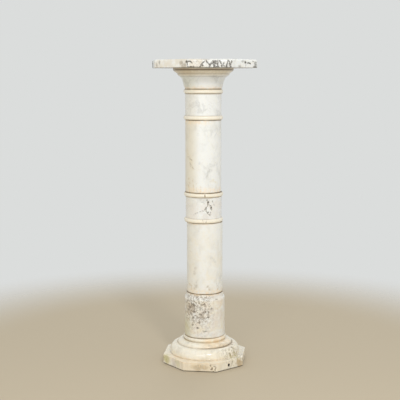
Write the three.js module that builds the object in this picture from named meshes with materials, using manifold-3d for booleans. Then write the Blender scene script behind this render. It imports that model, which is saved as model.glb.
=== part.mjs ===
// Marble pedestal column: turned drums, ringed collars and a flared capital stacked
// between an octagonal foot and an octagonal top plate. Millimetres, +Z up, floor at z = 0.
import * as THREE from "three";
import { mergeVertices } from "three/addons/utils/BufferGeometryUtils.js";
import Module from "manifold-3d";

const wasm = await Module();
wasm.setup();

// Heights of the stacked pieces, and the height at which the low drum ends
const plinthHeight = 30;
const footHeight = 88.8;
const drumTop = 232;
const collarHeight = 96.7;
const shaftHeight = 229.3;
const capitalHeight = 65.5;
const plateHeight = 25.5;
const joint = 0.3;

// Widths
const plateAcrossFlats = 319;
const plinthAcrossFlats = 258.3;
const shaftRadius = 57.6;
const drumRadius = 65.5;
const neckRadius = 60.5;
const torusRadius = 91;
const ringReach = 5.2;
const ringHeight = 14;
const flareRadius = 96;

// How the pieces stand on each other: the foot group sits a little to one side of the
// plate's centre, the pieces above it a little to the other, and the plate is turned.
const footOffset = 2.8;
const lowerCollarOffset = -1;
const stackOffset = -2;
const plateTurn = THREE.MathUtils.degToRad(12.7);

// Small details
const plateBevel = 5;
const edgeEase = 1.6;
const holeRadius = 3.6;
const holeDepth = 22;
const holeHeight = 15.2;
const holeAlongFace = -4.5;
const holeFaceTurn = THREE.MathUtils.degToRad(-45);

const turnedSides = 56;
const arcSteps = 6;

const collarBottom = drumTop + shaftHeight;
const upperShaftBottom = collarBottom + collarHeight;
const upperCollarBottom = upperShaftBottom + shaftHeight;
const capitalBottom = upperCollarBottom + collarHeight;
const plateBottom = capitalBottom + capitalHeight;

const point = (radius, height) => new THREE.Vector2(radius, height);

// Points of an elliptic arc in a profile; angles in degrees, 0 outwards and 90 up
function arc(centre, width, height, from, to, steps = arcSteps) {
  const points = [];
  for (let i = 0; i <= steps; i++) {
    const angle = THREE.MathUtils.degToRad(from + ((to - from) * i) / steps);
    points.push(
      point(centre.x + width * Math.cos(angle), centre.y + height * Math.sin(angle)),
    );
  }
  return points;
}

// A profile of (radius, height) points, closed on the axis and turned about +Z
function turned(profile, sides = turnedSides, firstCorner = 0) {
  const bottom = point(0, profile[0].y);
  const top = point(0, profile[profile.length - 1].y);
  return new THREE.LatheGeometry([bottom, ...profile, top], sides, firstCorner).rotateX(
    Math.PI / 2,
  );
}

// An octagonal slab with eased edges and flats facing the axes
function octagon(acrossFlats, bottom, height, bottomEase, topEase) {
  const corner = acrossFlats / 2 / Math.cos(Math.PI / 8);
  const cornerEase = 1 / Math.cos(Math.PI / 8);
  const profile = [
    point(corner - bottomEase * cornerEase, bottom),
    point(corner, bottom + bottomEase),
    point(corner, bottom + height - topEase),
    point(corner - topEase * cornerEase, bottom + height),
  ];
  return turned(profile, 8, Math.PI / 8);
}

function solidOf(geometry) {
  const bare = geometry.clone();
  bare.deleteAttribute("normal");
  bare.deleteAttribute("uv");
  const merged = mergeVertices(bare, 1e-3);
  return new wasm.Manifold(
    new wasm.Mesh({
      numProp: 3,
      vertProperties: merged.attributes.position.array,
      triVerts: new Uint32Array(merged.index.array),
    }),
  );
}

function geometryOf(solid) {
  const mesh = solid.getMesh();
  const geometry = new THREE.BufferGeometry();
  geometry.setAttribute("position", new THREE.BufferAttribute(mesh.vertProperties, 3));
  geometry.setIndex(new THREE.BufferAttribute(mesh.triVerts, 1));
  geometry.computeVertexNormals();
  return geometry;
}

// The foot is one block: an octagonal plinth under a torus, an ovolo and a small band,
// with a blind hole bored into one face of the plinth.
function footGeometry() {
  const insidePlinth = plinthHeight - 12;
  const torusTop = 62;
  const ovoloTop = 76;
  const band = point(64, (ovoloTop + footHeight) / 2);
  const bandHeight = (footHeight - ovoloTop) / 2;
  const mouldings = turned([
    point(109.6, insidePlinth),
    ...arc(point(torusRadius, 39), 21.5, torusTop - 39, -30, 90, 8),
    point(torusRadius - 2.5, torusTop + 0.5),
    ...arc(point(70.5, torusTop + 1), 17.5, 12.5, 0, 90),
    ...arc(band, 6, bandHeight, -75, 75),
    point(64.5, footHeight),
  ]);
  const plinth = octagon(plinthAcrossFlats, 0, plinthHeight, edgeEase, edgeEase);
  const hole = new THREE.CylinderGeometry(holeRadius, holeRadius, 2 * holeDepth, 10)
    .rotateZ(Math.PI / 2)
    .translate(plinthAcrossFlats / 2, holeAlongFace, holeHeight)
    .rotateZ(holeFaceTurn);
  return geometryOf(solidOf(plinth).add(solidOf(mouldings)).subtract(solidOf(hole)));
}

// The low drum has a worn shoulder and a short neck where the shaft stands on it
function drumGeometry() {
  const bottom = footHeight + joint;
  return turned([
    point(drumRadius - 1, bottom),
    point(drumRadius, bottom + 1.5),
    point(drumRadius, drumTop - 20),
    point(drumRadius - 3.2, drumTop - 13.5),
    point(neckRadius + 0.3, drumTop - 10),
    point(neckRadius, drumTop - 2.5),
    point(neckRadius - 1.5, drumTop),
  ]);
}

function shaftGeometry(bottom) {
  return turned([
    point(shaftRadius, bottom + joint),
    point(shaftRadius, bottom + shaftHeight),
  ]);
}

// A short drum with a half-round ring at each end
function collarGeometry(bottom) {
  const ring = (from) =>
    arc(
      point(shaftRadius, from + ringHeight / 2),
      ringReach,
      ringHeight / 2,
      -80,
      80,
    );
  const low = bottom + joint;
  const high = bottom + collarHeight;
  return turned([
    point(shaftRadius - 0.6, low),
    ...ring(low),
    point(shaftRadius, low + ringHeight + 0.2),
    point(shaftRadius, high - ringHeight - 0.2),
    ...ring(high - ringHeight),
    point(shaftRadius - 0.6, high),
  ]);
}

// A bell that swells upwards, a slanted bead, and a flare with a lip under the plate
function capitalGeometry() {
  return turned([
    point(shaftRadius + 0.6, capitalBottom + joint),
    point(61.4, capitalBottom + 9.7),
    point(64.2, capitalBottom + 20.5),
    point(66.6, capitalBottom + 28.5),
    point(70, capitalBottom + 35.3),
    point(73.2, capitalBottom + 39),
    point(79.6, capitalBottom + 43.2),
    point(82.3, capitalBottom + 45.8),
    point(82.3, capitalBottom + 47.9),
    point(87, capitalBottom + 51.6),
    point(91.6, capitalBottom + 55.1),
    point(94.7, capitalBottom + 58.1),
    point(flareRadius, capitalBottom + 62),
    point(flareRadius, plateBottom),
  ]);
}

const plateGeometry = () =>
  octagon(plateAcrossFlats, plateBottom + joint, plateHeight - joint, edgeEase, plateBevel);

const marble = (color, roughness) =>
  new THREE.MeshStandardMaterial({ color, roughness, metalness: 0 });
const warmMarble = marble(0xe9dfc9, 0.5);
const whiteMarble = marble(0xe8e5db, 0.42);
const speckledMarble = marble(0xd9cfbd, 0.5);
const veinedMarble = marble(0xeae4d4, 0.35);

const pedestal = new THREE.Group();

function place(name, geometry, material, offset, turn = 0) {
  const mesh = new THREE.Mesh(geometry, material);
  mesh.name = name;
  mesh.position.x = offset;
  mesh.rotation.z = turn;
  pedestal.add(mesh);
}

place("foot", footGeometry(), warmMarble, footOffset);
place("lower_drum", drumGeometry(), speckledMarble, footOffset);
place("lower_shaft", shaftGeometry(drumTop), whiteMarble, footOffset);
place("lower_collar", collarGeometry(collarBottom), whiteMarble, lowerCollarOffset);
place("upper_shaft", shaftGeometry(upperShaftBottom), whiteMarble, stackOffset);
place("upper_collar", collarGeometry(upperCollarBottom), whiteMarble, stackOffset);
place("capital", capitalGeometry(), warmMarble, stackOffset);
place("top_plate", plateGeometry(), veinedMarble, 0, plateTurn);

export default pedestal;
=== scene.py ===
"""Marble pedestal column, dressed for Blender 4.5.

Eight stones are stacked from the floor up: a carved foot, a low drum, two plain shafts,
two ringed collars, a capital and an octagonal top plate. Every stone is turned from its
profile and given its own marble.

Lengths are in millimetres, apart from the sliders, the centre lines, the floor, the lights
and the camera, which are in metres. Angles on a turned stone are in degrees from the side
that the camera sees.
"""

import math
import random

import bmesh
import bpy
from mathutils import Matrix, Vector, kdtree, noise


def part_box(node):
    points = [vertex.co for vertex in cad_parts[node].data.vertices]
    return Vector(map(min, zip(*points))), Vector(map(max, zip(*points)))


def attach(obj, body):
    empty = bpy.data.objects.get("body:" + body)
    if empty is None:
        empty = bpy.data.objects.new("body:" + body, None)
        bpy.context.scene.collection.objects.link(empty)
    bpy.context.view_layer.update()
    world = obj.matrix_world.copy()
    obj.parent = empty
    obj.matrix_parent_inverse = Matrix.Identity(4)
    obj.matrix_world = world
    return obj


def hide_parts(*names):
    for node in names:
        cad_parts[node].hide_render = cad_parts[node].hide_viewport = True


bl_info = {
    "name": "Marble Pedestal Column",
    "version": (1, 0, 0),
    "blender": (4, 5, 0),
    "location": "View3D > Sidebar > Pedestal",
    "description": "Builds a worn marble pedestal column on an octagonal foot",
    "category": "Add Mesh",
}

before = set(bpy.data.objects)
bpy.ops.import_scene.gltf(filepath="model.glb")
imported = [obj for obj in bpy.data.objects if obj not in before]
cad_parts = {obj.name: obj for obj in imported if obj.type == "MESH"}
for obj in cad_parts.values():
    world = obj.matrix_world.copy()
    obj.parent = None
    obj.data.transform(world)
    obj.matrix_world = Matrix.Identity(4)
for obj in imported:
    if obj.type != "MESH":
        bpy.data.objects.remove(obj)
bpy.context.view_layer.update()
BOX = {node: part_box(node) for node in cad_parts}

# One millimetre in metres
MM = 0.001

# The camera was fitted to the plinth's corners. It stands a little to the right of the
# plinth's front face, and the fit is kept in pixels of the 400 pixel wide photograph.
IMAGE_PIXELS = 400
FOCAL_PIXELS = 891.3
VIEW_TURN = math.radians(6.72)
VIEW_PITCH = math.radians(7.72)
VIEW_DISTANCE = 2.841
VIEW_HEIGHT = 0.915
VIEW_ASIDE = -0.0153

# The floor is a disc that fades out between two distances from its centre
FLOOR_RADIUS = 1.6
FLOOR_FADE = (0.75, 1.5)

# Area lights, all aimed at one height of the column: a place from the foot's centre line as
# the camera faces it, a size and watts
LIGHTS = (
    ("soft_box", (-0.55, -3.0, 1.5), (1.8, 1.6), 23),
    ("lamp", (0.8, -2.6, 2.2), (0.36, 0.36), 23),
    ("rear_light", (0.6, 2.6, 3.0), (1.6, 1.6), 12),
)
LIT_HEIGHT = 0.5

# A turned stone is spun as one wedge, which is then repeated round the axis. Its profile is
# cut at about the spacing. Corners past the first angle are rounded in a few steps, and edges
# past the second one are shaded sharp. An octagon's corners are blunted a little.
WEDGES = 16
PROFILE_SPACING = 2.5
EASE_STEPS = 3
SHARP_CORNER = math.radians(25)
SHARP_EDGE = math.radians(32)
BLUNTED = 0.4

# Wear strays in slow lumps and in quick ones, a chip is rough at its own grain, and both
# keep off a thin layer at the flat ends
SLOW_LUMP = 30
QUICK_LUMP = 6
CHIP_GRAIN = 3
FLAT_END = 0.01

# Sizes that the frame gives only as boxes. The crease is where the torus meets the plinth,
# and the hole is bored into the plinth face to the right of the front one, at a place along
# it and a height.
PLINTH_HEIGHT = 30
CREASE_RADIUS = 111
OVOLO_TOP = 76
HOLE_PLACE = (-4.5, 15.2)
HOLE_RADIUS = 3.6
HOLE_DEPTH = 22
RING_REACH = 5.2
PLATE_TURN = math.radians(12.7)
PLATE_FLATS = 319


def bottom(node):
    return BOX[node][0].z / MM


def top(node):
    return BOX[node][1].z / MM


def radius_of(node):
    low, high = BOX[node]
    return (high.x - low.x) / 2 / MM


def axis_of(node):
    """The point on the floor under a node's upright centre line, in metres."""
    low, high = BOX[node]
    return Vector(((low.x + high.x) / 2, (low.y + high.y) / 2, 0))


def facing(angle):
    """A level unit vector: 0 points out of the front face and pi / 2 to its right."""
    return Vector((math.sin(angle), -math.cos(angle), 0))


def on_side(radius, angle, height):
    """A point on a turned side."""
    return facing(math.radians(angle) + VIEW_TURN) * radius + Vector((0, 0, height))


def on_face(flats, face, along, height, turn=0.0):
    """A point on an octagon's upright face; faces count round from the front one."""
    angle = math.radians(45 * face) + turn
    right = facing(angle + math.pi / 2)
    return facing(angle) * flats / 2 + right * along + Vector((0, 0, height))


def srgb(red, green, blue):
    """A display colour of 0 to 255 as linear red, green and blue."""
    channels = [c / 255 for c in (red, green, blue)]
    return tuple(c / 12.92 if c <= 0.04045 else ((c + 0.055) / 1.055) ** 2.4 for c in channels)


# Sizes and colours that a user would change


def length_property(name, description, length):
    return bpy.props.FloatProperty(
        name=name, description=description, unit="LENGTH", default=length * MM
    )


def steps_property(name, description, steps):
    return bpy.props.IntProperty(name=name, description=description, default=steps)


def colour_property(name, description, display):
    return bpy.props.FloatVectorProperty(
        name=name, description=description, subtype="COLOR", size=3, default=srgb(*display)
    )


class PedestalSizes(bpy.types.PropertyGroup):
    """Sizes of the finish, which the frame doesn't give."""

    edge_ease: length_property("Edge ease", "Width that wear has taken off the arrises", 1.2)
    plate_bevel: length_property("Plate bevel", "Width of the plate's eased upper edge", 3.8)
    ring_height: length_property("Ring height", "Height of the rings on the collars", 14)
    wear: length_property("Wear", "How far the worn faces stray from true", 0.25)
    turned_steps: steps_property("Turned steps", "Steps round, a multiple of sixteen", 240)
    octagon_steps: steps_property("Octagon steps", "Steps round, a multiple of sixteen", 480)


class PedestalColours(bpy.types.PropertyGroup):
    """Colours of the marbles and of the stage."""

    white: colour_property("White", "Cool white ground", (239, 238, 233))
    cream: colour_property("Cream", "Warm cream ground", (236, 226, 205))
    # Tan is also laid partly as painted shade: on the capital's flare, and with the dirt in the
    # creases of the foot and the collars' ring creases
    tan: colour_property("Tan", "Tan stain in creases and joints", (196, 172, 132))
    sand: colour_property("Sand", "Warm left side of the column", (222, 206, 172))
    ivory: colour_property("Ivory", "Warm ivory of the foot and the rings", (247, 236, 213))
    # Dust is also laid as painted shade on the top plate's left face, over rose and cream
    dust: colour_property("Dust", "Grey-brown haze and streaks", (166, 152, 130))
    # Umber is also laid as painted shade: the shadow under the top plate, the top plate's lower
    # edge away from the front, and with dirt in the creases of the foot and the collars' ring
    # creases
    umber: colour_property("Umber", "Brown dirt in the joints", (112, 88, 58))
    gold: colour_property("Gold", "Golden iron stain on the foot", (222, 194, 146))
    peach: colour_property("Peach", "Light orange stain", (246, 218, 178))
    rose: colour_property("Rose", "Pinkish patches of the ground", (226, 214, 202))
    moss: colour_property("Moss", "Greenish stain", (196, 188, 130))
    grey: colour_property("Grey", "Grey of the faint veins", (178, 177, 172))
    # Slate is also laid as painted shade: the contact shadow at the foot of the plinth and the far
    # left corner of the top plate
    slate: colour_property("Slate", "Dark grey-brown of the strong veins", (78, 71, 60))
    # Hollow is painted shade: the near black that stands for the dark inside of the bored hole
    hollow: colour_property("Hollow", "Dark inside of the bored hole", (17.9, 15.6, 13))
    floor: colour_property("Floor", "Pale floor", (196, 182, 158))
    backdrop: colour_property("Backdrop", "Pale studio background", (219, 221, 220))


def sizes():
    return bpy.context.scene.pedestal_sizes


def tint(name):
    """A colour property as red, green, blue and alpha."""
    return (*getattr(bpy.context.scene.pedestal_colours, name), 1.0)


# Shader graphs


class Wire:
    """An output socket that can be used in arithmetic."""

    def __init__(self, graph, socket):
        self.graph = graph
        self.socket = socket

    def maths(self, operation, *values):
        return self.graph.node("ShaderNodeMath", {"operation": operation}, dict(enumerate(values)))

    def __add__(self, other):
        return self.maths("ADD", self, other)

    __radd__ = __add__

    def __sub__(self, other):
        return self.maths("SUBTRACT", self, other)

    def __rsub__(self, other):
        return self.maths("SUBTRACT", other, self)

    def __mul__(self, other):
        return self.maths("MULTIPLY", self, other)

    __rmul__ = __mul__

    def __abs__(self):
        return self.maths("ABSOLUTE", self)

    def most(self, other):
        return self.maths("MAXIMUM", self, other)

    def least(self, other):
        return self.maths("MINIMUM", self, other)

    def ramp(self, start, end):
        """Smoothly 0 at start and 1 at end; start may be the larger."""
        stops = {0: self, 1: min(start, end), 2: max(start, end), 3: 0.0, 4: 1.0}
        smooth = {"interpolation_type": "SMOOTHSTEP"}
        risen = self.graph.node("ShaderNodeMapRange", smooth, stops)
        return risen if start < end else 1 - risen


def most_of(masks):
    """The strongest of several masks."""
    first, *others = masks
    for mask in others:
        first = first.most(mask)
    return first


class Graph:
    """A material's nodes, read in Object coordinates from the foot of a centre line."""

    def __init__(self, name, centre):
        self.material = bpy.data.materials.new(name)
        self.material.use_nodes = True
        self.tree = self.material.node_tree
        self.tree.nodes.clear()
        place = self.node("ShaderNodeTexCoord", output="Object")
        self.place = self.scaled(self.vector("SUBTRACT", place, tuple(centre)), 1 / MM)
        self.height = self.node("ShaderNodeSeparateXYZ", inputs={0: self.place}, output="Z")
        self.level = self.vector("MULTIPLY", self.place, (1, 1, 0))
        self.radius = self.vector("LENGTH", self.level)

    def node(self, kind, settings=None, inputs=None, output=0):
        """Adds a node, sets it up, feeds its sockets and returns one output."""
        made = self.tree.nodes.new(kind)
        for name, value in (settings or {}).items():
            setattr(made, name, value)
        for key, value in (inputs or {}).items():
            if isinstance(value, Wire):
                self.tree.links.new(value.socket, made.inputs[key])
            else:
                made.inputs[key].default_value = value
        return Wire(self, made.outputs[output]) if made.outputs else None

    def vector(self, operation, *values):
        output = 1 if operation in ("LENGTH", "DISTANCE", "DOT_PRODUCT") else 0
        feeds = dict(enumerate(values))
        return self.node("ShaderNodeVectorMath", {"operation": operation}, feeds, output)

    def scaled(self, vector, factor):
        return self.node("ShaderNodeVectorMath", {"operation": "SCALE"}, {0: vector, 3: factor})

    def mixed(self, factor, first, second):
        """Second over first; each is the name of a colour or an earlier mix."""
        feeds = {0: factor}
        for key, value in ((6, first), (7, second)):
            feeds[key] = value if isinstance(value, Wire) else tint(value)
        return self.node("ShaderNodeMix", {"data_type": "RGBA"}, feeds, 2)

    def cloud(self, size, detail=3.0, at=None):
        """Smooth noise of about 0.2 to 0.8, with lumps of the given size."""
        feeds = {"Vector": at or self.place, "Scale": 1 / size, "Detail": detail}
        return self.node("ShaderNodeTexNoise", inputs=feeds)

    def shaken(self, reach, size, detail=2.0):
        """The place, strayed by noise by up to about half the reach."""
        feeds = {"Vector": self.place, "Scale": 1 / size, "Detail": detail}
        colour = self.node("ShaderNodeTexNoise", inputs=feeds, output="Color")
        stray = self.vector("SUBTRACT", colour, (0.5, 0.5, 0.5))
        return self.vector("ADD", self.place, self.scaled(stray, reach * 2))

    def leaning(self, at, lean):
        """The place, turned by an angle and squeezed, so that a pattern runs aslant."""
        feeds = {"Vector": at, "Rotation": (lean, lean, 0.0), "Scale": (1.0, 1.0, 1 / 2.2)}
        return self.node("ShaderNodeMapping", inputs=feeds)

    def cell_walls(self, size, at, width):
        """1 on the walls between cells of the given size, fading over the width."""
        feeds = {"Vector": at, "Scale": 1 / size}
        edge = self.node("ShaderNodeTexVoronoi", {"feature": "DISTANCE_TO_EDGE"}, feeds)
        return edge.ramp(width / size, 0.0)

    def threads(self, size, at, width):
        """1 on thin winding lines, where noise passes its middle value."""
        return abs(self.cloud(size, 4.0, at) - 0.5).ramp(width, 0.0)

    def spot(self, point, size, at=None):
        """1 inside a soft blot round a point; size is one radius or one for each axis."""
        radii = size if isinstance(size, tuple) else (size, size, size)
        away = self.vector("SUBTRACT", at or self.place, tuple(point))
        return self.vector("LENGTH", self.vector("DIVIDE", away, radii)).ramp(1.3, 0.5)

    def strand(self, start, end, width, at=None):
        """1 along a line between two points, fading over its width."""
        run = end - start
        away = self.vector("SUBTRACT", at or self.place, tuple(start))
        along = self.vector("DOT_PRODUCT", away, tuple(run / run.length_squared))
        line = self.scaled(tuple(run), along.most(0.0).least(1.0))
        return self.vector("DISTANCE", away, line).ramp(width, width * 0.3)

    def course(self, lines, width, at=None):
        """Strands along lines of points."""
        pairs = [pair for line in lines for pair in zip(line, line[1:])]
        return most_of(self.strand(start, end, width, at) for start, end in pairs)

    def seam(self, height, width):
        """1 at a joint of the given height, fading over its width."""
        return abs(self.height - height).ramp(width, width * 0.2)

    def crease(self, radius, height, width):
        """1 in a turned crease of the given radius and height, fading over its width."""
        sideways, upwards = self.radius - radius, self.height - height
        away = sideways * sideways + upwards * upwards
        return away.ramp(width * width, width * width * 0.05)

    def side(self, angle):
        """From -1 to 1, how far a point lies towards an angle on the stone."""
        towards = tuple(facing(math.radians(angle) + VIEW_TURN))
        return self.vector("DOT_PRODUCT", self.vector("NORMALIZE", self.level), towards)


class Marble(Graph):
    """The graph of one stone, with its place in the frame and its colour so far."""

    def __init__(self, name, node):
        super().__init__(name, axis_of(node))
        self.low, self.high, self.rim = bottom(node), top(node), radius_of(node)
        self.colour = None

    def lay(self, mask, paint):
        """Lays a paint over the colour so far."""
        self.colour = self.mixed(mask, self.colour, paint)

    def ground(self, warmth, smoky=0.3):
        """White marble clouded with cream; a greater warmth shows more of the cream."""
        drift = self.shaken(30, 45)
        broad = self.cloud(60, 2.0, drift)
        patchy = self.cloud(15, 5.0, drift)
        cream = (broad * 0.55 + patchy * 0.45 + (warmth - 0.5)).ramp(0.3, 0.7)
        self.colour = self.mixed(cream, "white", "cream")
        smoke = self.cloud(28, 4.0, self.leaning(drift, 0.4)).ramp(0.52, 0.75)
        self.lay(smoke * smoky, "grey")
        freckles = self.cloud(5, 4.0).ramp(0.56, 0.74) * patchy.ramp(0.4, 0.6)
        self.lay(freckles * 0.22, "tan")

    def faint_veins(self, size, strength):
        """Soft grey veins that lean across the stone and come and go."""
        lean = self.leaning(self.shaken(size * 0.4, size * 0.5), 0.35)
        soft = self.threads(size, lean, 0.09)
        sharp = self.threads(size * 0.6, lean, 0.02) * 0.6
        present = self.cloud(size * 0.9, 1.0).ramp(0.45, 0.65)
        self.lay(soft.most(sharp) * present * strength, "grey")

    def grime(self, seams, width):
        """Thin brown dirt and a wider tan stain at joints and creases, each a height and a
        strength; at the collars' ring creases they are also painted shade.
        """
        uneven = self.cloud(24, 4.0).ramp(0.15, 0.6)
        thin = most_of(self.seam(height, width) * strength for height, strength in seams)
        wide = most_of(self.seam(height, width * 3) * strength for height, strength in seams)
        return thin * (uneven * 0.7 + 0.3), wide * uneven

    def stained(self, dirt, stain):
        """Lays the tan stain and then the brown dirt over the colour so far, with painted shade
        where callers add it.
        """
        self.lay(stain * 0.34, "tan")
        self.lay(dirt * 0.88, "umber")

    def gloss(self, dirt, smooth=0.3):
        """Roughness of a worn polish, duller where dirt lies."""
        return self.cloud(25, 4.0) * 0.25 + (smooth - 0.1) + dirt * 0.3

    def pores(self, dirt, rough=1.0):
        """Relief in metres of fine pits, and of the grime that lies in them."""
        grain = self.cloud(1.6) * (0.025 * MM * rough)
        ripple = self.cloud(12, 2.0) * (0.16 * MM * rough)
        return grain + ripple - dirt * (0.15 * MM)

    def finish(self, roughness, relief):
        """Feeds the stone's shader; relief is a height in metres for the bump."""
        feeds = {
            "Base Color": self.colour,
            "Roughness": roughness,
            "IOR": 1.5,
            "Subsurface Weight": 0.12,
            "Subsurface Radius": (1.0, 0.9, 0.7),
            "Subsurface Scale": 3 * MM,
            "Normal": self.node("ShaderNodeBump", inputs={"Height": relief, "Distance": 1.0}),
        }
        stone = self.node("ShaderNodeBsdfPrincipled", inputs=feeds)
        self.node("ShaderNodeOutputMaterial", inputs={"Surface": stone})
        return self.material


# Marbles


def foot_marble():
    stone = Marble("foot_marble", "foot")
    stone.ground(0.45, 0.2)
    stone.lay(0.6, "ivory")
    shaken = stone.shaken(14, 25)
    fine = stone.cloud(4, 4.0)
    soft = stone.cloud(18)

    def plinth(face, along, height):
        return on_face(2 * stone.rim, face, along, height)

    # Iron stain: golden on the front of the plinth, orange on the mouldings above
    low = stone.height.ramp(PLINTH_HEIGHT + 1, PLINTH_HEIGHT - 3)
    front = stone.spot(plinth(0, -8, 14), (72, 30, 60), shaken)
    stone.lay(front * low * (fine * 0.4 + 0.1), "gold")
    sunken = stone.spot(plinth(0, 0, 14), (29, 20, 9), shaken)
    grainy = stone.cloud(3, 4.0, stone.vector("MULTIPLY", stone.place, (1.0, 1.0, 0.4)))
    stone.lay(sunken * (grainy * 0.7 + 0.2), "gold")
    stone.lay(sunken * (grainy * 1.3 - 0.4).most(0.0), "dust")
    ledge = stone.side(-22).ramp(0.4, 0.85) * stone.seam(PLINTH_HEIGHT, 8)
    stone.lay(ledge * soft * 0.6, "peach")
    warm_side = stone.side(38).ramp(0.6, 0.97) * soft.ramp(0.3, 0.5)
    stone.lay(warm_side * stone.height.ramp(60, 66) * 0.55, "peach")
    band_stain = stone.side(22).ramp(0.75, 0.98) * stone.height.ramp(62, 70)
    stone.lay(band_stain * soft * 0.2, "gold")

    # Streaks and bruises on the right, moss and a pinkish blot on the left face
    streaky = stone.vector("MULTIPLY", stone.shaken(6, 14), (1.0, 1.0, 0.22))
    streaks = stone.cloud(5, 3.0, streaky).ramp(0.48, 0.62)
    right = stone.spot(on_side(112, 56, 40), (58, 58, 38), shaken)
    stone.lay(streaks * right * 0.72, "dust")
    bruised = stone.cloud(7, 5.0, shaken).ramp(0.56, 0.68)
    stone.lay(bruised * right * 0.6, "umber")
    wide_streaks = stone.cloud(14, 2.0, streaky).ramp(0.45, 0.7)
    stone.lay(wide_streaks * soft * 0.3, "dust")
    moss = stone.spot(plinth(-1, -38, 18), 19, shaken)
    moss = moss.most(stone.spot(plinth(-1, 22, 14), 11, shaken) * 0.5)
    stone.lay(moss * (fine + 0.25), "moss")
    stone.lay(stone.spot(plinth(-1, 2, 16), 14, shaken) * 0.7, "rose")

    # Bruises and two strokes at the right end of the front face, each bruise a place along
    # the face, a height and a size
    bruises = [(36, 8, 5), (42, 17, 4), (33, 21, 3), (46, 10, 3), (38, 13, 3), (44, 4, 3)]
    bruises = most_of(
        stone.spot(plinth(0, along, height), size, shaken) for along, height, size in bruises
    )
    stone.lay(bruises * stone.cloud(4).ramp(0.35, 0.6) * 0.75, "umber")
    strokes = [[(45, 20), (50, 14), (47, 8)], [(37, 16), (38, 9)]]
    strokes = [[plinth(0, *point) for point in line] for line in strokes]
    stone.lay(stone.course(strokes, 3, stone.shaken(4, 6)) * 0.6, "umber")
    green = stone.spot(on_side(118, 54, 32), 24, shaken)
    stone.lay(green * streaks * 0.6, "moss")
    brown = stone.spot(plinth(1, 43, 13), (18, 18, 14), shaken)
    stone.lay((brown * (fine + 0.3)).least(1.0), "tan")
    stone.faint_veins(40, 0.25)

    # Dirt and painted shade in the creases, each with a radius, a height, a width, a strength and
    # the angle at which it is the strongest
    creases = [
        (radius_of("lower_drum"), stone.high, 1.5, 0.95, -30),
        (68, OVOLO_TOP, 1.5, 0.75, -50),
        (89, 62.5, 1.4, 0.65, -75),
        (89, 62.5, 2.8, 0.85, 52),
        (CREASE_RADIUS, PLINTH_HEIGHT + 0.5, 1.5, 0.35, -50),
    ]
    uneven = stone.cloud(26, 4.0).ramp(0.2, 0.6) * 0.6 + 0.4
    dirt, halo = [], []
    for radius, height, width, strength, angle in creases:
        most = stone.side(angle).ramp(0.1, 0.95) * (strength * 0.75) + strength * 0.25
        dirt.append(stone.crease(radius, height, width) * most)
        halo.append(stone.crease(radius, height, width * 2.8) * most)
    dirt = most_of(dirt)
    stone.stained(dirt * uneven, most_of(halo) * uneven)
    # Painted contact shadow: the lowest few millimetres of the plinth are laid dark slate
    stone.lay(stone.height.ramp(3.9, 1.8) * 0.9, "slate")

    # The bored hole is laid near black inside as painted shade and made dull, and worn at its
    # lower lip
    mouth = plinth(1, *HOLE_PLACE)
    inwards = -facing(math.radians(45))
    hole = stone.strand(mouth + inwards * 1.6, mouth + inwards * (HOLE_DEPTH + 2), 5.5)
    stone.lay(hole.ramp(0.0, 0.4) * 0.97, "hollow")
    stone.lay(stone.spot(plinth(1, HOLE_PLACE[0], 11), 2.6) * 0.7, "slate")
    return stone.finish(stone.gloss(dirt, 0.14) + hole * 0.8, stone.pores(dirt, 0.4))


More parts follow.
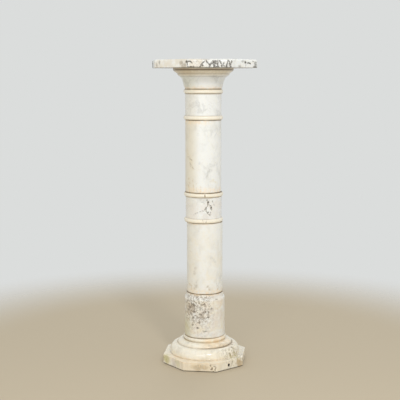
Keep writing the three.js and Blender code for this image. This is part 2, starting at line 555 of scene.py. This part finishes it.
def drum_marble():
    stone = Marble("drum_marble", "lower_drum")
    stone.ground(0.46, 0.15)
    pink = stone.cloud(20).ramp(0.44, 0.6)
    stone.lay(pink * 0.45, "rose")
    shaken = stone.shaken(5, 6, 4.0)
    shoulder = stone.height.ramp(stone.high - 24, stone.high - 14)
    stone.lay(shoulder * 0.45, "white")

    # A broken brown network, strongest on the left and towards the top
    wide = stone.shaken(12, 10, 4.0)
    walls = stone.cell_walls(11, wide, 2.2).most(stone.threads(8, wide, 0.045))
    patchy = stone.cloud(9, 4.0).ramp(0.38, 0.56)
    speckled = stone.side(-28).ramp(0.45, 0.9) * 0.85 + 0.15
    upwards = stone.height.ramp(stone.low + 15, stone.low + 80) * 0.75 + 0.25
    stone.lay(walls * patchy * speckled * upwards * 0.7, "umber")
    mottled = stone.spot(on_side(stone.rim, -46, 185), 20, wide)
    flecked = stone.cloud(5, 4.0).ramp(0.36, 0.6)
    stone.lay(mottled * 0.3, "tan")
    stone.lay(mottled * flecked.least(walls + 0.35) * 0.5, "umber")

    # Dark blots, each an angle, a height, and half a width and height
    blots = [
        (-26, 223, 7, 3), (-40, 199, 5, 5), (-32, 197, 4.5, 6), (-47, 191, 6, 4),
        (-3, 203, 5, 3.5), (6, 214, 4, 2), (20, 186, 4.5, 4.5), (-32, 176, 4, 3.5),
        (-29, 173, 4, 2.5), (1, 177, 4, 4), (10, 176, 3.5, 3.5), (-5, 176, 3, 2),
        (-13, 168, 4, 3.5), (-8, 168, 3, 5), (-42, 167, 5, 5), (-34, 156, 3.5, 4),
        (-21, 157, 4, 4), (9, 159, 6.5, 3), (-17, 141, 6.5, 3), (-20, 124, 4.5, 3.5),
        (-36, 131, 3, 4), (-1, 114, 8, 2.2), (-14, 186, 2.5, 5),
        (-52, 178, 5, 4), (36, 216, 6, 3),
    ]
    blots = most_of(
        stone.spot(on_side(stone.rim, angle, height), (across, across, tall), shaken)
        for angle, height, across, tall in blots
    )
    broken = stone.cloud(4, 4.0).ramp(0.3, 0.6)
    marks = blots * broken
    stone.lay(blots * 0.35, "dust")
    stone.lay(marks * 0.76, "slate")

    # A warm spot on the right, moss low on the left and peach round the neck
    warm_spot = stone.spot(on_side(stone.rim, 50, 204), 17, shaken)
    stone.lay(warm_spot * broken * 0.3, "peach")
    moss = stone.side(-78).ramp(0.7, 1.0) * stone.height.ramp(180, 120)
    stone.lay(moss * 0.45, "moss")
    neck = stone.height.ramp(stone.high - 8, stone.high)
    stone.lay(neck * (pink * 0.4 + 0.15), "peach")
    stone.stained(*stone.grime([(stone.low, 0.9), (stone.high, 0.9)], 1.6))
    return stone.finish(stone.gloss(marks, 0.32), stone.pores(marks, 2.5))


def shaft_marble(node, look, marks):
    """A plain shaft; marks are soft strokes of points, with a width, a strength and a colour."""
    warmth, veined, leftward, low_stain, high_stain = look
    stone = Marble(node + "_marble", node)
    stone.ground(warmth)
    stone.lay(0.4, stone.mixed(warmth - 0.2, "white", "cream"))
    stone.faint_veins(55, veined)
    stone.lay(stone.side(-72).ramp(0.45, 0.95) * leftward, "sand")
    shaken = stone.shaken(12, 16, 4.0)
    mottled = stone.cloud(8, 4.0).ramp(0.3, 0.65)
    for points, width, strength, paint in marks:
        line = [on_side(stone.rim, *point) for point in points]
        stone.lay(stone.course([line], width, shaken) * mottled * strength, paint)
    foxed_foot = stone.height.ramp(stone.low + low_stain, stone.low)
    foxed_head = stone.height.ramp(stone.high - high_stain, stone.high)
    foxed = foxed_foot.most(foxed_head * stone.side(-40).ramp(0, 1))
    stone.lay(foxed * mottled * 0.68, "peach")
    dirt, stain = stone.grime([(stone.low, 0.95), (stone.high, 0.95)], 1.6)
    stone.stained(dirt, stain)
    return stone.finish(stone.gloss(dirt), stone.pores(dirt))


def branching_vein(stone, radius):
    """Marks of the lower collar: a dark branching vein, faint strokes and cracked rings."""
    shaken = stone.shaken(5, 6, 4.0)
    broken = stone.cloud(5, 4.0).ramp(0.34, 0.6)

    def lines_on(reach, *lines):
        return [[on_side(reach, *point) for point in line] for line in lines]

    chain = [(12, 537), (16, 525), (9, 513), (5, 507)]
    branch = [(18, 523), (25, 514), (27, 503)]
    tail = [(8, 508), (9, 500), (15, 492), (22, 489), (23, 497)]
    veins = stone.course(lines_on(radius, chain, branch, tail), 2.7, shaken)
    # Knots on the vein, each an angle, a height and a size
    knots = [
        (11, 537, 3.6), (14, 530, 4), (15, 524, 3.4), (8, 512, 2.6), (22, 517, 3.6),
        (25, 510, 4), (15, 499, 2.4), (30, 533, 2.6), (21, 488, 2.6),
    ]
    knots = most_of(
        stone.spot(on_side(radius, angle, height), size, shaken) for angle, height, size in knots
    )
    veins = veins.most(knots)
    stone.lay(veins * 0.25, "dust")
    stone.lay(veins * broken * 0.95, "slate")
    swept = [(-32, 490), (-20, 496), (0, 503)], [(30, 530), (36, 520)], [(-6, 531), (2, 526)]
    faint = stone.course(lines_on(radius, *swept), 3.2, shaken)
    stone.lay(faint * broken * 0.45, "slate")
    outer = radius + 5
    crack = stone.course(lines_on(outer, [(3.5, 560), (4, 541)]), 2.2)
    worn_cracks = [(-3, 475), (1, 469), (0, 463)], [(9, 474), (7, 463)]
    worn_cracks = stone.course(lines_on(outer, *worn_cracks), 3.2, shaken) * broken
    stone.lay(crack.most(worn_cracks * 0.6) * 0.9, "umber")


def collar_marble(node, marked):
    stone = Marble(node + "_marble", node)
    low, high = stone.low, stone.high
    radius = stone.rim - RING_REACH
    ring = sizes().ring_height / MM
    stone.ground(0.28 if marked else 0.16)
    stone.faint_veins(42, 0.35)
    stone.lay(stone.side(-72).ramp(0.5, 0.9) * 0.25, "sand")
    if marked:
        stone.lay(stone.cloud(24).ramp(0.35, 0.6) * 0.35, "rose")
    stone.lay(stone.radius.ramp(radius + 0.3, radius + 2) * 0.75, "ivory")
    if marked:
        branching_vein(stone, radius)
    # The lowest line of the two collars carries the most dirt, the next the least; the two lines
    # where the rings meet the body are dirt and painted shade of the ring creases
    seams = [(low, 1.0), (low + ring, 0.25), (high - ring, 0.9), (high, 0.95)]
    dirt, stain = stone.grime(seams, 1.8)
    stone.stained(dirt, stain)
    return stone.finish(stone.gloss(dirt, 0.26), stone.pores(dirt))


def capital_marble():
    stone = Marble("capital_marble", "capital")
    low, high = stone.low, stone.high
    stone.ground(0.22, 0.45)
    stone.faint_veins(34, 0.4)
    mottled = stone.cloud(10, 5.0).ramp(0.25, 0.65)
    leftward = stone.side(-72).ramp(0.4, 1.0)
    stone.lay(leftward * 0.25, "moss")
    foxed = stone.height.ramp(low + 16, low)
    stone.lay(foxed * mottled * 0.65, "peach")
    # The flare is laid ivory, then tan that is partly a stain and partly painted shade: the warm
    # shade of the downward-facing flare, darker on the left
    flare = stone.height.ramp(low + 38, low + 49)
    stone.lay(flare * 0.8, "ivory")
    stone.lay(flare * (mottled * 0.25 + leftward * 0.35 + 0.12), "tan")
    # Grey-brown lines in the quirks, each a radius, a height, a width and a strength
    quirks = [(73.4, 39.2, 2.0, 0.55), (82.2, 48.2, 1.8, 0.45)]
    quirks = most_of(
        stone.crease(radius, low + height, width) * strength
        for radius, height, width, strength in quirks
    )
    stone.lay(quirks, "dust")
    dirt, stain = stone.grime([(low, 1.0), (high, 0.4)], 1.8)
    # Painted shadow of the top plate: a dark umber band on the flare's lip a few millimetres below
    # the plate, laid together with the dirt
    plate_shadow = stone.height.ramp(high - 9.5, high - 6)
    plate_shadow = plate_shadow.least(stone.height.ramp(high - 2.5, high - 4.5))
    stone.stained(dirt.most(plate_shadow * 0.95), stain)
    return stone.finish(stone.gloss(dirt), stone.pores(dirt))


def plate_marble():
    stone = Marble("plate_marble", "top_plate")
    low = stone.low
    stone.ground(0.3, 0.15)
    shaken = stone.shaken(3.5, 7, 4.0)

    def edge(face, along, height):
        return on_face(PLATE_FLATS, face, along, low + height, PLATE_TURN)

    def blot(face, along, height, across, tall):
        return stone.spot(edge(face, along, height), (across, across, tall), shaken)

    def stroke(face, width, line):
        return stone.course([[edge(face, *point) for point in line]], width, shaken)

    # The left face is pinkish and plain, and darkened with painted shade
    leftward = stone.side(-38).ramp(0.72, 0.85) * stone.cloud(22).ramp(0.3, 0.6)
    stone.lay(leftward * 0.4, "rose")
    stone.lay(leftward * 0.5, "cream")
    stone.lay(leftward * 0.14, "dust")

    # Strong veins on the front edge, as (along, height) points on its face
    veins = [
        [(-66, 18), (-59, 18), (-54, 13)],
        [(-65, 3), (-62, -3)],
        [(-60, 1), (-53, 2)],
        [(-49, 3), (-48, -3)],
        [(-17, 17), (-27, 7), (-30, -3)],
        [(-24, 7), (-20, 6)],
        [(-10, 21), (-7, 14), (-1, 8), (1, 9), (5, 14)],
        [(-1, 8), (0, 0)],
        [(8, 20), (12, 13), (13, -3)],
        [(13, 20), (14, 11)],
        [(18, 20), (18, 11)],
        [(4, 13), (13, 11), (24, 9)],
        [(24, 21), (24, -3)],
        [(15, 5), (21, 0), (23, -3)],
        [(30, 20), (34, 13), (42, 7), (47, -1)],
        [(42, 13), (35, 5), (39, -3)],
        [(55, 21), (52, 9), (49, -3)],
        [(59, 18), (61, -3)],
        [(67, 20), (63, 11), (61, 2)],
        [(50, 0), (66, 0)],
    ]
    strong = [stroke(0, 3.3, line) for line in veins]
    # Strokes on the faces beside it, each a face, a width, a strength and points
    beside = [
        (1, 3.2, 1.0, [(13, 14.5), (29, 13.5)]),
        (-1, 2.8, 1.0, [(64, 15), (66, 7)]),
        (1, 2.2, 0.5, [(4, 12), (5, 0)]),
        (1, 3.2, 0.7, [(62, 9), (48, 0)]),
        (1, 2.6, 0.6, [(40, 20), (62, 16)]),
    ]
    strong += [stroke(face, width, line) * strength for face, width, strength, line in beside]
    # The far left corner, darkened as painted shade, then blots: a face, a place along it, a
    # height, half a width and height, and a strength
    strong.append(stone.spot(edge(-2, -44, 10), (20, 30, 18), shaken))
    blots = [
        (-1, 62, 16.5, 6, 5, 1.0),
        (1, 2, 16, 6, 5, 1.0),
        (1, 56, 10, 7, 10, 0.7),
        (1, -10, 19, 7, 4, 0.45),
        (1, -26, 3, 9, 5, 0.55),
        (0, 64, 2, 3, 4, 1.0),
        (0, 60, 10, 9, 12, 0.3),
        (-1, -46, 15, 4, 7, 0.45),
        (-1, -57, 8, 4, 8, 0.4),
    ]
    strong += [blot(*place) * strength for *place, strength in blots]
    brown = blot(-1, 52, 5, 12, 9).most(blot(-1, 40, 13, 8, 6)) * stone.cloud(6)
    stone.lay((brown * 1.2).least(0.8), "dust")

    # The same network starts behind the front edge and fades out over the top and the back
    wide = stone.shaken(16, 24, 4.0)
    walls = stone.cell_walls(30, wide, 4.5).most(stone.cell_walls(14, wide, 2.2) * 0.7)
    outwards = stone.vector("DOT_PRODUCT", stone.place, tuple(facing(PLATE_TURN)))
    inside = (PLATE_FLATS / 2 - outwards).ramp(4, 10)
    near_front = stone.spot(edge(0, 2, 12), (72, 60, 60), stone.shaken(30, 50))
    elsewhere = stone.cloud(85).ramp(0.5, 0.64) * stone.side(180).ramp(-0.35, 0.1)
    present = stone.cloud(13).ramp(0.32, 0.55)
    network = walls * (near_front * inside).most(elsewhere * 0.8) * present
    haze = (near_front * 0.3).most(elsewhere * 0.25) * stone.cloud(10, 5.0).ramp(0.4, 0.65)
    stone.lay(haze, "dust")
    stone.lay(network * 0.8, "slate")
    specks = stone.cloud(3.2).ramp(0.58, 0.68) * near_front * 0.6
    broken = stone.cloud(4.5).ramp(0.24, 0.48)
    right_end = blot(1, 54, 2, 12, 4.5) * 0.9
    marks = (most_of(strong) * broken).most(specks).most(right_end)
    stone.lay(marks * 0.9, "slate")

    # The lower edge is darkened with painted shade away from the front, and dotted where the veins
    # reach it
    under = stone.height.ramp(low + 1.2, low + 0.2)
    stone.lay(under * (1 - near_front) * 0.6, "umber")
    dotted = stone.height.ramp(low + 5, low + 1) * near_front
    stone.lay(dotted * stone.cloud(4, 2.0).ramp(0.48, 0.6) * 0.8, "slate")
    return stone.finish(stone.gloss(marks, 0.22), stone.pores(network * 0.3))


# Stone shapes


def arc(centre, reach, start, end, steps):
    """Points on an elliptic arc of a profile; angles in degrees, 0 outwards and 90 up."""
    angles = [math.radians(start + (end - start) * i / steps) for i in range(steps + 1)]
    return [
        (centre[0] + reach[0] * math.cos(angle), centre[1] + reach[1] * math.sin(angle))
        for angle in angles
    ]


def eased(points, width):
    """The profile with each sharp corner drawn as a small curve."""
    done = [points[0]]
    for before, corner, after in zip(points, points[1:], points[2:]):
        corner = Vector(corner)
        back, ahead = Vector(before) - corner, Vector(after) - corner
        if math.pi - back.angle(ahead) <= SHARP_CORNER:
            done.append(tuple(corner))
            continue
        start = corner + back.normalized() * min(width, back.length * 0.45)
        end = corner + ahead.normalized() * min(width, ahead.length * 0.45)
        for i in range(EASE_STEPS + 1):
            part = i / EASE_STEPS
            curve = start * (1 - part) ** 2 + corner * 2 * part * (1 - part) + end * part**2
            done.append(tuple(curve))
    return done + [points[-1]]


def turned(points, steps):
    """A closed solid turned about the upright axis from (radius, height) points."""
    stone = bmesh.new()
    ends = [(0, points[0][1]), *points, (0, points[-1][1])]
    line = [stone.verts.new((radius, 0, height)) for radius, height in ends]
    sides = [stone.edges.new(pair) for pair in zip(line, line[1:])]
    for edge in sides[1:-1]:
        cuts = int(edge.calc_length() / PROFILE_SPACING)
        if cuts:
            bmesh.ops.subdivide_edges(stone, edges=[edge], cuts=cuts)
    about = {"cent": (0, 0, 0), "axis": (0, 0, 1)}
    wedge = math.tau / WEDGES
    profile = stone.verts[:] + stone.edges[:]
    bmesh.ops.spin(stone, geom=profile, angle=wedge, steps=steps // WEDGES, **about)
    slice_geom = stone.verts[:] + stone.edges[:] + stone.faces[:]
    around = {"angle": math.tau - wedge, "steps": WEDGES - 1, "use_duplicate": True}
    bmesh.ops.spin(stone, geom=slice_geom, **around, **about)
    bmesh.ops.remove_doubles(stone, verts=stone.verts, dist=0.001)
    bmesh.ops.recalc_face_normals(stone, faces=stone.faces)
    return stone


def octagonal(stone, inner, nominal, flats):
    """Draws the part of a turned solid outside the inner radius out to an octagon."""
    blunt = flats / 2 / math.cos(math.pi / 8) - BLUNTED
    for vert in stone.verts:
        radius = math.hypot(vert.co.x, vert.co.y)
        if radius <= inner:
            continue
        angle = math.atan2(vert.co.y, vert.co.x)
        from_flat = (angle + math.pi / 8) % (math.pi / 4) - math.pi / 8
        rim = min(flats / 2 / math.cos(from_flat), blunt)
        wanted = inner + (radius - inner) / (nominal - inner) * (rim - inner)
        vert.co.xy *= wanted / radius


def between_ends(stone):
    """The vertices that don't lie on the flat ends."""
    heights = [vert.co.z for vert in stone.verts]
    low, high = min(heights) + FLAT_END, max(heights) - FLAT_END
    return [vert for vert in stone.verts if low < vert.co.z < high]


def worn(stone, seed=0.0):
    """Moves the surface in and out by slow noise, and leaves the flat ends alone."""
    stone.normal_update()
    reach = sizes().wear / MM
    shift = Vector((seed, seed, seed))
    for vert in between_ends(stone):
        slow = noise.noise(vert.co / SLOW_LUMP + shift)
        quick = noise.noise(vert.co / QUICK_LUMP + shift)
        vert.co -= vert.normal * (0.6 + slow + quick * 0.3) * reach


def nicked(stone, flakes):
    """Knocks flakes out of the stone; each is a point, a size and a depth."""
    stone.normal_update()
    verts = between_ends(stone)
    tree = kdtree.KDTree(len(verts))
    for i, vert in enumerate(verts):
        tree.insert(vert.co, i)
    tree.balance()
    for point, size, depth in flakes:
        for place, i, away in tree.find_range(point, size):
            rough = 0.8 + 0.6 * noise.noise(place / CHIP_GRAIN)
            hollow = depth * (1 - (away / size) ** 2) * rough
            verts[i].co -= verts[i].normal * hollow


def placed(stone, name, node, material):
    """Makes the finished mesh an object in metres that stands for a node of the frame."""
    bmesh.ops.scale(stone, vec=(MM, MM, MM), verts=stone.verts)
    bmesh.ops.translate(stone, vec=axis_of(node), verts=stone.verts)
    mesh = bpy.data.meshes.new(name)
    stone.to_mesh(mesh)
    stone.free()
    mesh.shade_smooth()
    mesh.set_sharp_from_angle(angle=SHARP_EDGE)
    piece = bpy.data.objects.new(name, mesh)
    bpy.context.scene.collection.objects.link(piece)
    mesh.materials.append(material)
    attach(piece, "root")
    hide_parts(node)
    return piece


def bored(piece, mouth, inwards):
    """Cuts the round blind hole into an upright face of the foot."""
    centre = Matrix.Translation(mouth * MM + axis_of("foot"))
    turn = inwards.to_track_quat("Z", "Y").to_matrix().to_4x4()
    drill = bmesh.new()
    bmesh.ops.create_cone(
        drill,
        cap_ends=True,
        segments=32,
        radius1=HOLE_RADIUS * MM,
        radius2=HOLE_RADIUS * MM,
        depth=2 * HOLE_DEPTH * MM,
        matrix=centre @ turn,
    )
    mesh = bpy.data.meshes.new("drill")
    drill.to_mesh(mesh)
    drill.free()
    cutter = bpy.data.objects.new("drill", mesh)
    bpy.context.scene.collection.objects.link(cutter)
    cut = piece.modifiers.new("hole", "BOOLEAN")
    cut.operation = "DIFFERENCE"
    cut.object = cutter
    shape = piece.evaluated_get(bpy.context.evaluated_depsgraph_get())
    finished = bpy.data.meshes.new_from_object(shape)
    piece.modifiers.remove(cut)
    bpy.data.objects.remove(cutter)
    piece.data = finished


def chips_on_plinth(flats):
    """Flakes along the upper arrises of the plinth, most of them at its right end."""
    chance = random.Random(7)
    flakes = []
    side_length = flats * 0.41
    for face in range(8):
        for _ in range(5 if face in (1, 2) else 2):
            along = chance.uniform(-0.5, 0.5) * side_length
            height = PLINTH_HEIGHT - chance.uniform(0, 2)
            size, depth = chance.uniform(3, 6), chance.uniform(0.8, 1.8)
            flakes.append((on_face(flats, face, along, height), size, depth))
    corner = flats / 2 / math.cos(math.pi / 8)
    for turn, height, size, depth in ((67.5, 27, 9, 3), (67.5, 12, 7, 2.2), (22.5, 26, 5, 1.6)):
        point = facing(math.radians(turn)) * corner + Vector((0, 0, height))
        flakes.append((point, size, depth))
    return flakes


def chips_on_shoulder(radius, height):
    """Flakes all round the worn shoulder of the drum, the deepest at its two sides."""
    chance = random.Random(11)
    flakes = [
        (
            on_side(radius, chance.uniform(0, 360), height + chance.uniform(-3, 5)),
            chance.uniform(4, 9),
            chance.uniform(0.4, 1.3),
        )
        for _ in range(26)
    ]
    for angle, rise, size, depth in ((-84, 3, 6, 1.8), (-70, -4, 5, 1.4), (80, 4, 7, 2.0)):
        flakes.append((on_side(radius, angle, height + rise), size, depth))
    return flakes


# Operators


class PEDESTAL_OT_foot(bpy.types.Operator):
    """Carve the octagonal plinth and its mouldings from one block"""

    bl_idname = "pedestal.foot"
    bl_label = "Carve the foot"

    def execute(self, context):
        rim, high = radius_of("foot"), top("foot")
        flats = 2 * rim
        torus = ((91, 39), (21.5, 23))
        ovolo = ((70.5, 63), (17.5, 12.5))
        band = ((64, (OVOLO_TOP + high) / 2), (6, (high - OVOLO_TOP) / 2))
        profile = [(rim - 2.2, 0), (rim, 2), (rim, PLINTH_HEIGHT), (CREASE_RADIUS, PLINTH_HEIGHT)]
        profile += arc(*torus, -20, 90, 20) + [(88.5, 62.3)]
        profile += arc(*ovolo, 0, 90, 12) + arc(*band, -75, 75, 10) + [(64.5, high)]
        stone = turned(eased(profile, sizes().edge_ease / MM), sizes().octagon_steps)
        octagonal(stone, CREASE_RADIUS, rim, flats)
        worn(stone)
        nicked(stone, chips_on_plinth(flats))
        foot = placed(stone, "carved_foot", "foot", foot_marble())
        bored(foot, on_face(flats, 1, *HOLE_PLACE), -facing(math.radians(45)))
        return {"FINISHED"}


class PEDESTAL_OT_drum(bpy.types.Operator):
    """Turn the low drum with its worn shoulder"""

    bl_idname = "pedestal.drum"
    bl_label = "Turn the lower drum"

    def execute(self, context):
        radius = radius_of("lower_drum")
        low, high = bottom("lower_drum"), top("lower_drum")
        profile = [
            (radius - 1, low),
            (radius, low + 1.5),
            (radius, high - 20),
            (radius - 1, high - 16.5),
            (radius - 3.4, high - 13),
            (radius - 4.6, high - 10),
            (radius - 5, high - 2.5),
            (radius - 6.5, high),
        ]
        stone = turned(eased(profile, 2), sizes().turned_steps)
        worn(stone)
        nicked(stone, chips_on_shoulder(radius - 1.5, high - 15))
        placed(stone, "speckled_drum", "lower_drum", drum_marble())
        return {"FINISHED"}


class PEDESTAL_OT_shafts(bpy.types.Operator):
    """Turn the two plain shafts"""

    bl_idname = "pedestal.shafts"
    bl_label = "Turn the shafts"

    def execute(self, context):
        ease = sizes().edge_ease / MM
        lower_marks = [
            ([(-30, 316), (-34, 300)], 7, 0.3, "dust"),
            ([(-26, 274), (-32, 262), (-30, 250)], 8, 0.5, "dust"),
            ([(10, 258), (18, 251)], 7, 0.55, "dust"),
            ([(42, 262), (46, 250)], 6, 0.65, "dust"),
            ([(-58, 262), (-46, 250)], 7, 0.5, "tan"),
            ([(20, 352), (34, 335)], 8, 0.25, "grey"),
        ]
        upper_marks = [
            ([(-60, 690), (-46, 664), (-38, 640)], 12, 0.5, "sand"),
            ([(-46, 650), (-32, 636)], 5, 0.8, "dust"),
            ([(-54, 674), (-40, 664)], 4.5, 0.7, "dust"),
            ([(-10, 652), (4, 640), (22, 630)], 8, 0.3, "grey"),
            ([(24, 646), (46, 648)], 9, 0.35, "grey"),
            ([(22, 628), (14, 606)], 8, 0.3, "grey"),
            ([(30, 600), (46, 590)], 9, 0.4, "sand"),
            ([(-52, 606), (-52, 566)], 6, 0.45, "tan"),
            ([(-34, 600), (-34, 566)], 5, 0.5, "tan"),
            ([(-20, 590), (-21, 564)], 4, 0.5, "tan"),
            ([(-6, 584), (-6, 562)], 4, 0.4, "tan"),
        ]
        # Warmth, strength of the veins, warmth of the left side, reach of the two stains
        shafts = (
            ("lower_shaft", (0.42, 0.16, 0.22, 26, 8), lower_marks),
            ("upper_shaft", (0.3, 0.3, 0.55, 26, 24), upper_marks),
        )
        for node, look, marks in shafts:
            radius = radius_of(node)
            low, high = bottom(node), top(node)
            profile = [
                (radius - ease, low),
                (radius, low + ease),
                (radius, high - ease),
                (radius - ease, high),
            ]
            stone = turned(eased(profile, ease), sizes().turned_steps)
            worn(stone, low / 100)
            material = shaft_marble(node, look, marks)
            placed(stone, node + "_stone", node, material)
        return {"FINISHED"}


class PEDESTAL_OT_collars(bpy.types.Operator):
    """Turn the two short drums with a half-round ring at each end"""

    bl_idname = "pedestal.collars"
    bl_label = "Turn the collars"

    def execute(self, context):
        ring = sizes().ring_height / MM
        reach = (RING_REACH, ring / 2)
        for node, marked in (("lower_collar", True), ("upper_collar", False)):
            radius = radius_of(node) - RING_REACH
            low, high = bottom(node), top(node)
            profile = [(radius - 0.6, low)]
            profile += arc((radius, low + ring / 2), reach, -80, 80, 12)
            profile += [(radius, low + ring + 0.2), (radius, high - ring - 0.2)]
            profile += arc((radius, high - ring / 2), reach, -80, 80, 12)
            profile += [(radius - 0.6, high)]
            stone = turned(eased(profile, 0.6), sizes().turned_steps)
            worn(stone, low / 100)
            material = collar_marble(node, marked)
            placed(stone, node + "_stone", node, material)
        return {"FINISHED"}


class PEDESTAL_OT_capital(bpy.types.Operator):
    """Turn the capital: a bell, a fillet and a hollow flare"""

    bl_idname = "pedestal.capital"
    bl_label = "Turn the capital"

    def execute(self, context):
        low, high = bottom("capital"), top("capital")
        flare = radius_of("capital")
        bell = [(58.2, 0), (59.6, 5), (61.2, 9.7), (62.7, 15), (64.1, 20.2), (65.3, 24.5)]
        bell += [(66.6, 28.2), (68.2, 32), (70, 35), (72.2, 37.8), (73.2, 38.7)]
        bead = [(75.4, 39.6), (77.8, 41.2), (80, 42.9), (81.6, 44.4), (82.3, 45.8)]
        slope = [(82.3, 47.5), (82.6, 48.2), (84.6, 49.6), (87, 51.3), (89.4, 53)]
        slope += [(91.6, 54.8), (93.4, 56.6), (94.8, 58.4), (95.6, 60.1)]
        profile = [(radius, low + height) for radius, height in bell + bead + slope]
        profile += [(flare, low + 61.8), (flare, high)]
        stone = turned(eased(profile, 0.8), sizes().turned_steps)
        worn(stone)
        placed(stone, "turned_capital", "capital", capital_marble())
        return {"FINISHED"}


class PEDESTAL_OT_plate(bpy.types.Operator):
    """Cut the octagonal top plate with its eased upper edge"""

    bl_idname = "pedestal.plate"
    bl_label = "Cut the top plate"

    def execute(self, context):
        rim, core = PLATE_FLATS / 2, 60
        ease, bevel = sizes().edge_ease / MM, sizes().plate_bevel / MM
        low, high = bottom("top_plate"), top("top_plate")
        profile = [
            (rim - 40, low),
            (rim - ease, low),
            (rim, low + ease),
            (rim, high - bevel),
            (rim - bevel, high),
            (rim - 40, high),
        ]
        stone = turned(eased(profile, 1.5), sizes().octagon_steps)
        octagonal(stone, core, rim, PLATE_FLATS)
        worn(stone)
        turn = Matrix.Rotation(PLATE_TURN, 3, "Z")
        bmesh.ops.rotate(stone, cent=(0, 0, 0), matrix=turn, verts=stone.verts)
        placed(stone, "octagonal_plate", "top_plate", plate_marble())
        return {"FINISHED"}


def area_light(name, place, target, size, power):
    light = bpy.data.lights.new(name, "AREA")
    light.shape = "RECTANGLE"
    light.size, light.size_y = size
    light.energy = power
    lamp = bpy.data.objects.new(name, light)
    lamp.location = place
    lamp.rotation_euler = (target - place).to_track_quat("-Z", "Y").to_euler()
    bpy.context.scene.collection.objects.link(lamp)


def pale_floor():
    """A round floor whose rim fades into the background."""
    disc = bmesh.new()
    bmesh.ops.create_circle(disc, cap_ends=True, segments=96, radius=FLOOR_RADIUS)
    mesh = bpy.data.meshes.new("pale_floor")
    disc.to_mesh(mesh)
    disc.free()
    floor = bpy.data.objects.new("pale_floor", mesh)
    bpy.context.scene.collection.objects.link(floor)
    graph = Graph("floor_paint", (0, 0, 0))
    paint = {"Base Color": tint("floor"), "Roughness": 0.8}
    solid = graph.node("ShaderNodeBsdfPrincipled", inputs=paint)
    clear = graph.node("ShaderNodeBsdfTransparent")
    near, far = FLOOR_FADE
    gone = graph.radius.ramp(near / MM, far / MM)
    surface = graph.node("ShaderNodeMixShader", inputs={0: gone, 1: solid, 2: clear})
    graph.node("ShaderNodeOutputMaterial", inputs={"Surface": surface})
    mesh.materials.append(graph.material)


class PEDESTAL_OT_stage(bpy.types.Operator):
    """Set the floor, the soft light and the camera"""

    bl_idname = "pedestal.stage"
    bl_label = "Set the stage"

    def execute(self, context):
        scene = context.scene
        scene.view_settings.view_transform = "Standard"
        world = bpy.data.worlds.new("studio")
        world.use_nodes = True
        background = world.node_tree.nodes["Background"]
        background.inputs["Color"].default_value = tint("backdrop")
        scene.world = world
        pale_floor()

        foot = axis_of("foot")
        around = Matrix.Rotation(VIEW_TURN, 3, "Z")
        target = foot + Vector((0, 0, LIT_HEIGHT))
        for name, place, size, power in LIGHTS:
            area_light(name, around @ Vector(place) + foot, target, size, power)

        lens = bpy.data.cameras.new("camera")
        lens.sensor_width = 36
        lens.lens = FOCAL_PIXELS / IMAGE_PIXELS * lens.sensor_width
        camera = bpy.data.objects.new("camera", lens)
        camera.location = around @ Vector((VIEW_ASIDE, -VIEW_DISTANCE, VIEW_HEIGHT)) + foot
        camera.rotation_euler = (math.pi / 2 - VIEW_PITCH, 0, VIEW_TURN)
        scene.collection.objects.link(camera)
        scene.camera = camera
        return {"FINISHED"}


OPERATORS = (
    PEDESTAL_OT_stage,
    PEDESTAL_OT_foot,
    PEDESTAL_OT_drum,
    PEDESTAL_OT_shafts,
    PEDESTAL_OT_collars,
    PEDESTAL_OT_capital,
    PEDESTAL_OT_plate,
)


class PEDESTAL_PT_panel(bpy.types.Panel):
    """Lists the stones, their sizes and their colours"""

    bl_label = "Pedestal"
    bl_idname = "PEDESTAL_PT_panel"
    bl_space_type = "VIEW_3D"
    bl_region_type = "UI"
    bl_category = "Pedestal"

    def draw(self, context):
        for operator in OPERATORS:
            self.layout.operator(operator.bl_idname)
        for group in (context.scene.pedestal_sizes, context.scene.pedestal_colours):
            for name in group.__annotations__:
                self.layout.prop(group, name)


CLASSES = (PedestalSizes, PedestalColours, *OPERATORS, PEDESTAL_PT_panel)


def register():
    for cls in CLASSES:
        bpy.utils.register_class(cls)
    bpy.types.Scene.pedestal_sizes = bpy.props.PointerProperty(type=PedestalSizes)
    bpy.types.Scene.pedestal_colours = bpy.props.PointerProperty(type=PedestalColours)


def unregister():
    del bpy.types.Scene.pedestal_colours
    del bpy.types.Scene.pedestal_sizes
    for cls in reversed(CLASSES):
        bpy.utils.unregister_class(cls)


def main():
    register()
    for operator in OPERATORS:
        group, name = operator.bl_idname.split(".")
        getattr(getattr(bpy.ops, group), name)()


if __name__ == "__main__":
    main()
